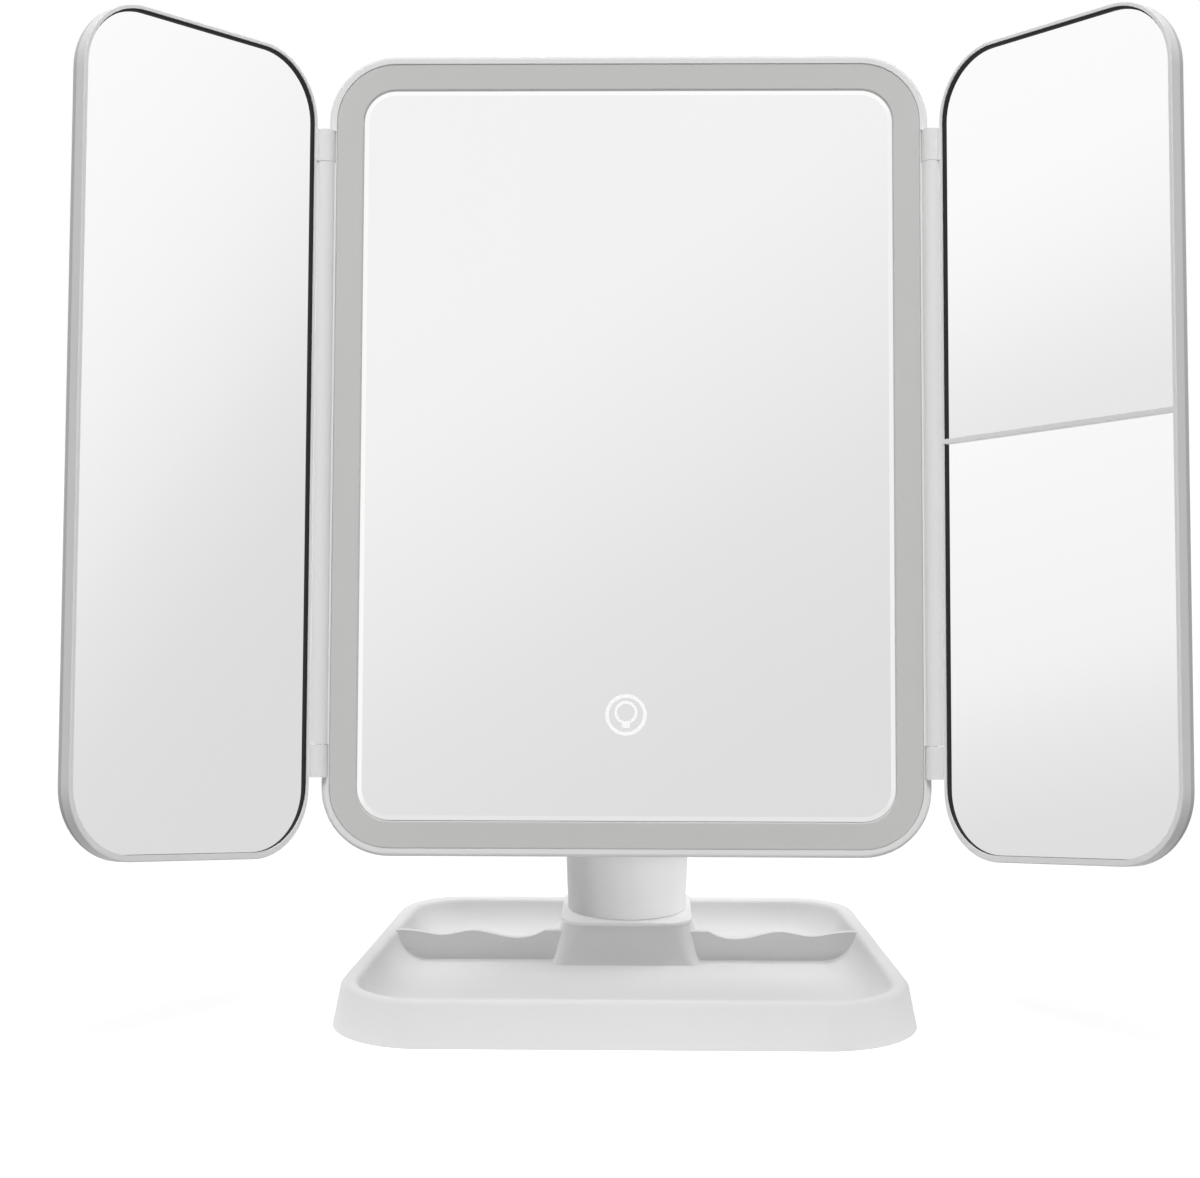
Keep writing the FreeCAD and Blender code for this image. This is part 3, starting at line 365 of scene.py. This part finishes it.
# %% Hang the soft boxes
def soft_box(name, place, target, width, power, group):
    """A round lamp at a place, turned to a target. Only its group gets its light."""
    lamp = bpy.data.lights.new(name, "AREA")
    lamp.shape = "DISK"
    lamp.size = width
    lamp.energy = power
    hung = bpy.data.objects.new(name, lamp)
    hung.location = place
    aim = Vector(target) - Vector(place)
    hung.rotation_euler = aim.to_track_quat("-Z", "Y").to_euler()
    hung.visible_glossy = False
    hung.visible_camera = False
    hung.light_linking.receiver_collection = lit_groups[group]
    scene.collection.objects.link(hung)


LAMP_DISTANCE = 2.0
STAND_CENTRE = Vector((0.0, 0.0, 0.10))
LAMPS = [
    ("stand", 90, 0, 2.6, 40.8),
    ("stand", 45, 0, 2.0, 2.5),
    ("stand", 6, 0, 0.5, 4.8),
    ("stand", 30, 90, 0.9, 7.6),
    ("stand", 30, 270, 0.9, 7.9),
    ("stand", 55, 135, 0.9, 9.4),
    ("stand", 55, 225, 0.9, 1.2),
    ("neck", 6, 0, 0.5, 4.6),
    ("neck", 6, 45, 0.5, 12.9),
    ("neck", 6, 90, 0.5, 4.4),
    ("neck", 6, 135, 0.5, 14.0),
    ("neck", 30, 180, 0.9, 3.0),
    ("head", 55, 0, 0.9, 23.5),
    ("head", 78, 0, 0.9, 9.0),
    ("head", 10, 135, 0.9, 22.0),
    ("head", 10, 180, 0.9, 6.0),
    ("head", 10, 225, 0.9, 22.0),
]
for group, elevation, direction, width, power in LAMPS:
    high, turned = math.radians(elevation), math.radians(direction)
    offset = Vector((math.cos(high) * math.sin(turned),
                     -math.cos(high) * math.cos(turned),
                     math.sin(high)))
    soft_box(f"{group}_lamp_{elevation}_{direction}", STAND_CENTRE + LAMP_DISTANCE * offset,
             STAND_CENTRE, width, power, group)
print("soft boxes hung:", len(LAMPS))

# %% [markdown]
# The floor has a lamp of its own, which hangs overhead and draws the shadow.
# The other lamps don't reach the paper, so it throws less light back up than
# paper in a studio would. They could be let onto it, but each would draw a
# shadow of its own there. Two glowing cards, just above the floor, make up for
# it: one for the tray's walls, and one for the lower edge of the head. Neither
# the camera nor the glass sees them.

# %% Hang the floor's lamp and lay the cards
CARD_HEIGHT, CARD_WIDTH, HEAD_CARD_FORWARD = 0.0006, 0.8, -0.45
soft_box("floor_lamp", place=(0.0, 0.0, 1.6), target=STAND_CENTRE,
         width=1.2, power=7.5, group="floor")
soft_box("stand_card", place=(0.0, 0.0, CARD_HEIGHT), target=(0.0, 0.0, 1.0),
         width=CARD_WIDTH, power=1.34, group="stand")
soft_box("head_card", place=(0.0, HEAD_CARD_FORWARD, CARD_HEIGHT),
         target=(0.0, HEAD_CARD_FORWARD, 1.0), width=CARD_WIDTH, power=0.26, group="head")

# %% [markdown]
# ## Moulded white plastic
# The shells are injection-moulded ABS. The mould is polished to a soft sheen,
# not to a mirror: the surface has a very fine grain, and slow waves where the
# plastic cooled unevenly. One flat colour would look drawn, not moulded, and a
# scanned texture would need unwrapping. Three noises, measured on the object
# itself, are enough: one tints the colour by a hair, one moves the roughness,
# and the finest is the grain, about ten microns high. Of the three shells the
# front frames are the whitest. The back covers are greyer: partly their own
# tone, and partly painted shade, for the wings' outer walls, which stand in
# shade. Their mould was eroded to a coarser grain, which hides fingermarks.

# %% Mix the shell plastic
CLOUDING = 2


def shell_plastic(name, shade, sheen, grain, pore_scale=2600.0):
    """White ABS. The shade is a screen tone, and the grain is a height."""
    plastic = Finish(name)
    clouds = plastic.noise(scale=9.0, detail=3.0)
    flow = plastic.noise(scale=60.0, detail=4.0, roughness=0.6, stretch=(1.0, 1.0, 0.25))
    pores = plastic.noise(scale=pore_scale, detail=2.0, roughness=0.7)
    return plastic.surface(
        Base_Color=plastic.mix(clouds, tone(shade - CLOUDING), tone(shade + CLOUDING)),
        Roughness=sheen + 0.10 * (flow - 0.5) + 0.05 * (pores - 0.5),
        Normal=plastic.bump(pores + 0.6 * flow, distance=grain, strength=0.35),
        Specular_IOR_Level=0.45,
        IOR=1.53)


white_shell = shell_plastic("white_shell", 240, sheen=0.36, grain=0.00002)
stand_shell = shell_plastic("stand_shell", 231, sheen=0.33, grain=0.00002)
# The back covers' grey is partly painted shade, for the wings' outer walls.
cover_shell_painted_shade = shell_plastic("cover_shell_painted_shade", 210, sheen=0.50, grain=0.00005, pore_scale=1400.0)
print("shell plastics:", white_shell.name, stand_shell.name, cover_shell_painted_shade.name)

# %% [markdown]
# ## The frosted light band
# The band round the middle pane is opal acrylic, frosted on its face. With
# the lamps off it looks evenly grey, because light sinks in and little comes
# back. Light that really scatters inside would take long to render and look
# the same at this thickness, so a matt grey stands for it. The frosting is a
# finer and deeper grain than the shell's, and the sheen is broad.

# %% Frost the light band
opal = Finish("frosted_opal")
frost = opal.noise(scale=3800.0, detail=3.0, roughness=0.7)
depth = opal.noise(scale=22.0, detail=2.0)
light_diffuser = opal.surface(
    Base_Color=opal.mix(depth, tone(207, 208, 206), tone(211, 212, 210)),
    Roughness=0.52 + 0.12 * (frost - 0.5),
    Normal=opal.bump(frost, distance=0.00003, strength=0.5),
    IOR=1.49)
print("band:", light_diffuser.name)

# %% [markdown]
# ## Silvered glass
# A mirror pane is glass with silver behind it. It could be two layers, clear
# glass over metal, but all the light comes back from the silver, so a metal
# with a neutral tint and almost no roughness stands for both. Wiped glass is
# never perfectly clean: a faint film left by the cloth moves the roughness in
# long soft streaks.
#
# The right wing's two panes are hollow-ground, so that they magnify. Such a
# pane shows only a small part of the tent, nearly all of one tone. The slope
# from white to grey that a flat pane shows is therefore painted into its
# silver, as a painted reflection: each pane darkens towards its lower outer
# corner.

# %% Silver the panes
PAINTED_REFLECTION_SLANT, PAINTED_REFLECTION_REACH = 0.5, 0.15


def silvered(name, lowest=0.0, stops=None):
    """Silver under a faint film. Stops, where given, are screen tones of a painted reflection up
    the pane.
    """
    glass = Finish(name)
    film = glass.noise(scale=14.0, detail=5.0, roughness=0.55, stretch=(1.0, 1.0, 0.4))
    if stops:
        # The painted reflection: grey low down on each magnifying pane, white higher up.
        painted_reflection_place = (glass.along(2) - PAINTED_REFLECTION_SLANT * glass.along(0) - lowest) / PAINTED_REFLECTION_REACH
        silver_and_painted_reflection = glass.ramp(painted_reflection_place, in_light(stops))
    else:
        silver_and_painted_reflection = glass.mix(film, tone(253), tone(255))
    return glass.surface(
        Base_Color=silver_and_painted_reflection,
        Metallic=1.0,
        Roughness=0.02 + 0.03 * film)


flat_glass = silvered("flat_glass")
# These two panes carry a painted reflection in their silver.
upper_glass_painted_reflection = silvered("upper_magnifying_glass_painted_reflection", lowest=0.083, stops=[
    (0.0, 231.5), (0.19, 233), (0.31, 238.2), (0.425, 244), (0.541, 248.3),
    (0.658, 251.3), (1.0, 253)])
lower_glass_painted_reflection = silvered("lower_magnifying_glass_painted_reflection", lowest=-0.027, stops=[
    (0.0, 225), (0.09, 225.5), (0.173, 226.5), (0.298, 232.5), (0.36, 236),
    (0.423, 240.3), (0.485, 243.6), (0.61, 245.4), (0.86, 248.9), (0.97, 252.3)])
print("panes silvered:", flat_glass.name, upper_glass_painted_reflection.name, lower_glass_painted_reflection.name)

# %% [markdown]
# ## The seal, the mark and the collar
# The wing panes sit in a black seal, a thin dark line round each. Its black
# is painted shade, for the narrow gap between pane and rim, and it is matt and
# slightly uneven. The touch mark is etched through the silver, so it is matt
# white, and it glows a little. That glow is painted light: a lamp behind it
# would be hidden by the silver, so the mark itself gives the light. The collar
# at the neck's foot is the shell's plastic again, polished and whiter. Part of
# that white is a painted highlight, for the bright lip round the neck's foot.

# %% Finish the small visible pieces
seal_painted_shade = Finish("black_seal")
skin = seal_painted_shade.noise(scale=1500.0, detail=3.0, roughness=0.6)
black_seal = seal_painted_shade.surface(
    # The seal's black is painted shade, for the gap between pane and rim.
    Base_Color=seal_painted_shade.mix(skin, tone(10), tone(22)),
    Roughness=0.62 + 0.15 * (skin - 0.5),
    Specular_IOR_Level=0.35,
    Normal=seal_painted_shade.bump(skin, distance=0.00003, strength=0.5))

etch_with_painted_glow = Finish("etched_mark")
grit = etch_with_painted_glow.noise(scale=5200.0, detail=2.0, roughness=0.7)
etched_mark = etch_with_painted_glow.surface(
    Base_Color=etch_with_painted_glow.mix(grit, tone(246), tone(252)),
    Roughness=0.60 + 0.2 * (grit - 0.5),
    # The emission is painted light: the mark glows by itself.
    Emission_Color=etch_with_painted_glow.mix(grit, tone(240), tone(255)),
    Emission_Strength=0.25)

# Part of the collar's white is a painted highlight, for its bright lip.
collar_trim = shell_plastic("collar_trim", 250, sheen=0.18, grain=0.000008)
print("small finishes:", black_seal.name, etched_mark.name, collar_trim.name)

# %% [markdown]
# ## The hidden works
# Behind the panes are tape, boards, lamps, foil, a battery, screws and pins.
# They show when the part is opened or cut, so each gets the finish that such
# a piece has. Each could be built node by node, but most need the same few
# nodes with other numbers, so one helper makes them all: a pattern that moves
# between a dark and a pale tone, and lifts the surface a little. A row of the
# table gives the name, the two tones, the roughness, the pattern's scale and
# the height of its grain. Metals say so, and the turned pins have their
# pattern pressed into rings.

# %% Plain hidden finishes
def grained(name, dark, pale, roughness, scale, grain, metallic=0.0, stretch=(1.0, 1.0, 1.0)):
    """A surface of one pattern. The scale is per metre, and the grain is a height."""
    made = Finish(name)
    pattern = made.noise(scale, detail=4.0, roughness=0.6, stretch=stretch)
    return made.surface(
        Base_Color=made.mix(pattern, tone(*dark), tone(*pale)),
        Metallic=metallic,
        Roughness=roughness + 0.12 * (pattern - 0.5),
        Normal=made.bump(pattern, distance=grain, strength=0.5))


METAL = 1.0
IN_RINGS = (1.0, 1.0, 12.0)
HIDDEN = [
    ("mounting_tape", (60, 60, 62), (76, 76, 78), 0.85, 1800.0, 0.00008),
    ("inner_plastic", (212, 212, 208), (224, 224, 220), 0.5, 700.0, 0.00003),
    ("conductive_foam", (30, 30, 32), (62, 62, 66), 0.95, 2400.0, 0.0002),
    ("screw_steel", (176, 178, 182), (208, 208, 206), 0.32, 900.0, 0.00001, METAL),
    ("plated_steel", (196, 196, 200), (222, 222, 224), 0.22, 600.0, 0.00001, METAL, IN_RINGS),
    ("copper_foil", (206, 134, 98), (232, 168, 132), 0.30, 300.0, 0.00005, METAL),
    ("battery_pouch", (178, 180, 184), (206, 208, 212), 0.38, 160.0, 0.0002, METAL),
    ("bearing_plastic", (224, 222, 212), (234, 232, 224), 0.42, 900.0, 0.00001),
    ("silicone_pad", (190, 190, 192), (206, 206, 208), 0.7, 1100.0, 0.00006),
]
finishes = {row[0]: grained(*row) for row in HIDDEN}
print("hidden finishes:", len(finishes))

# %% [markdown]
# The boards and the lamps have a pattern of their own: copper tracks under
# green lacquer, white lacquer on the lamp strip, and yellow gel in each
# lamp's white cup. Tracks could be drawn one by one, but a brick pattern with
# long thin bricks is enough, since its joints run in lines as tracks do.

# %% Boards and lamps
board = Finish("circuit_board")
tracks = board.node(
    "ShaderNodeTexBrick", None,
    {"Vector": board.place(), "Scale": 1.0, "Mortar Size": 0.0003, "Mortar Smooth": 0.1,
     "Brick Width": 0.004, "Row Height": 0.0016}, "Fac")
lacquer = board.noise(scale=500.0, detail=3.0)
circuit_board = board.surface(
    Base_Color=board.mix(tracks, tone(22, 96, 58), tone(44, 128, 82)),
    Roughness=0.30 + 0.1 * lacquer,
    Normal=board.bump(tracks, distance=0.00003, strength=0.6))

strip = Finish("lamp_board")
lacquer_skin = strip.noise(scale=900.0, detail=3.0)
lamp_board = strip.surface(
    Base_Color=strip.mix(lacquer_skin, tone(232, 234, 232), tone(242, 243, 241)),
    Roughness=0.34 + 0.1 * lacquer_skin,
    Normal=strip.bump(lacquer_skin, distance=0.00001, strength=0.5))

gel = Finish("lamp_phosphor")
grains = gel.node(
    "ShaderNodeTexVoronoi", None, {"Vector": gel.place(), "Scale": 3500.0}, "Distance")
lamp_phosphor = gel.surface(
    Base_Color=gel.mix(grains, tone(246, 226, 132), tone(232, 206, 96)),
    Roughness=0.35 + 0.2 * grains,
    Normal=gel.bump(grains, distance=0.00004, strength=0.4))
print("boards:", circuit_board.name, lamp_board.name, lamp_phosphor.name)

# %% [markdown]
# ## Put each finish on its pieces
# Each finish could be given to its pieces by name, one by one. The packed
# record already says which slot each piece uses, so most are given by slot.
# The two magnifying panes differ from each other, and the back covers from the
# front frames, so those are named.

# %% Assign the finishes
finishes.update({
    "white_shell": white_shell,
    "stand_shell": stand_shell,
    "light_diffuser": light_diffuser,
    "centre_glass": flat_glass,
    "wing_glass": flat_glass,
    "magnifying_glass": upper_glass_painted_reflection,
    "etched_mark": etched_mark,
    "black_seal": black_seal,
    "collar_trim": collar_trim,
    "circuit_board": circuit_board,
    "lamp_board": lamp_board,
    "lamp_phosphor": lamp_phosphor,
})
for piece in pieces.values():
    for holder in piece.material_slots:
        slot = holder.material.name.split(".")[0]
        holder.material = finishes[slot]
pieces["right_wing_lower_mirror"].material_slots[0].material = lower_glass_painted_reflection
for name in ("panel_rear_cover", "left_wing_back_cover", "right_wing_back_cover"):
    pieces[name].material_slots[0].material = cover_shell_painted_shade
print(len(finishes), "slots finished on", len(pieces), "pieces")

# %% [markdown]
# ## What the panes may show
# Two wings that face each other would show each other again and again, and a
# studio keeps that out with white cards. Here the pieces are left out of
# glossy rays, so that each pane shows only the tent.

# %% Keep the pieces out of the glass
for piece in pieces.values():
    piece.visible_glossy = False
print("pieces kept out of reflections:", len(pieces))

# %% [markdown]
# ## Look settings
# The Standard view shows a colour as it is written. Other views would bend
# every tone above.

# %% Finish
scene.view_settings.view_transform = "Standard"
